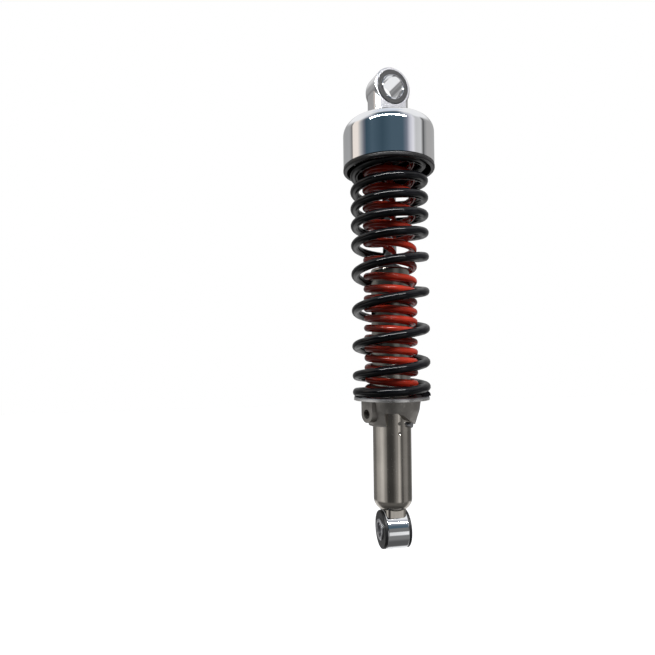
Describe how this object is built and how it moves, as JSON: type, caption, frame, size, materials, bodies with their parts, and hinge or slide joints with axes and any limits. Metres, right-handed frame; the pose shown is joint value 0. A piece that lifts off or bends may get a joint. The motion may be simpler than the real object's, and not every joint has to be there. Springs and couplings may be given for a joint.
{
  "type": "rear shock absorber",
  "caption": "Motorcycle rear shock: twin-tube damper, nested black and red coil springs, cam preload ring, chromed spring cap and rubber-bushed eyes.",
  "frame": {"origin": "centre of the lower mounting eye's bore", "axes": "+X along the lower eye's bore, +Z along the damper from the lower eye to the upper eye"},
  "size_m": [0.0664, 0.0664, 0.3483],
  "materials": {
    "polished_steel": "polished, slightly warm bright steel",
    "chrome": "mirror chrome plate",
    "zinc_steel": "plain machined steel",
    "rubber": "matte moulded rubber",
    "cast_aluminium": "die-cast, tumbled",
    "polished_aluminium": "cast and polished",
    "black_spring": "gloss black powder coat",
    "red_spring": "gloss red-orange coat",
    "black_steel": "satin black paint",
    "sintered": "sintered iron",
    "bronze": "bearing bronze",
    "ptfe": "filled plastic bearing band",
    "foam": "cellular bump rubber",
    "nylon": "thin moulded pad"
  },
  "bodies": {
    "damper_body": {"outer_tube": "polished_steel", "bottom_cap": "polished_steel", "lower_eye_ring": "chrome", "lower_bush": "rubber", "stop_lugs": "zinc_steel", "pressure_tube": "zinc_steel", "foot_valve": "sintered", "foot_valve_disc": "zinc_steel", "foot_valve_rivet": "zinc_steel", "rod_guide": "sintered", "rod_guide_bush": "bronze", "oil_seal": "rubber", "gland_washer": "zinc_steel", "dust_wiper": "rubber"},
    "lower_pivot": {"lower_sleeve": "zinc_steel"},
    "seat": {"seat_washer": "zinc_steel"},
    "adjuster": {"preload_ring": "cast_aluminium"},
    "spring_pack": {"outer_spring": "black_spring", "inner_spring": "red_spring"},
    "upper": {"piston_rod": "chrome", "piston": "sintered", "piston_ring": "ptfe", "rebound_shim": "zinc_steel", "piston_stop_washer": "zinc_steel", "compression_shims": "zinc_steel", "piston_nut": "zinc_steel", "bump_stop": "foam", "spring_cap": "chrome", "upper_seat_cup": "black_steel", "spring_insulator": "nylon", "upper_eye": "polished_aluminium", "upper_bush": "rubber", "lock_nut": "zinc_steel"},
    "upper_pivot": {"upper_sleeve": "chrome"}
  },
  "joints": [
    {"name": "lower_bush_twist", "type": "hinge", "parent": "damper_body", "child": "lower_pivot", "pos_m": [0, 0, 0], "axis": [1, 0, 0], "range_deg": [-15, 15], "stiffness_Nm_per_rad": 4},
    {"name": "preload_lift", "type": "slide", "parent": "damper_body", "child": "seat", "axis": [0, 0, 1], "range_m": [-0.005, 0.005]},
    {"name": "preload_turn", "type": "hinge", "parent": "seat", "child": "adjuster", "pos_m": [0, 0, 0.0853], "axis": [0, 0, 1], "range_deg": [-60, 60]},
    {"name": "rod_swivel", "type": "hinge", "parent": "seat", "child": "spring_pack", "pos_m": [0, 0, 0.097], "axis": [0, 0, 1], "continuous": true},
    {"name": "compression", "type": "slide", "parent": "spring_pack", "child": "upper", "axis": [0, 0, 1], "range_m": [-0.068, 0], "stiffness_N_per_m": 18000, "springref_m": 0.012, "deforming": ["outer_spring", "inner_spring"]},
    {"name": "upper_bush_twist", "type": "hinge", "parent": "upper", "child": "upper_pivot", "pos_m": [0, 0, 0.32], "axis": [-0.1908, 0.9816, 0], "range_deg": [-15, 15], "stiffness_Nm_per_rad": 4}
  ],
  "couplings": [
    {"joint": "preload_turn", "follows": "preload_lift", "rad_per_m": -209.44}
  ]
}
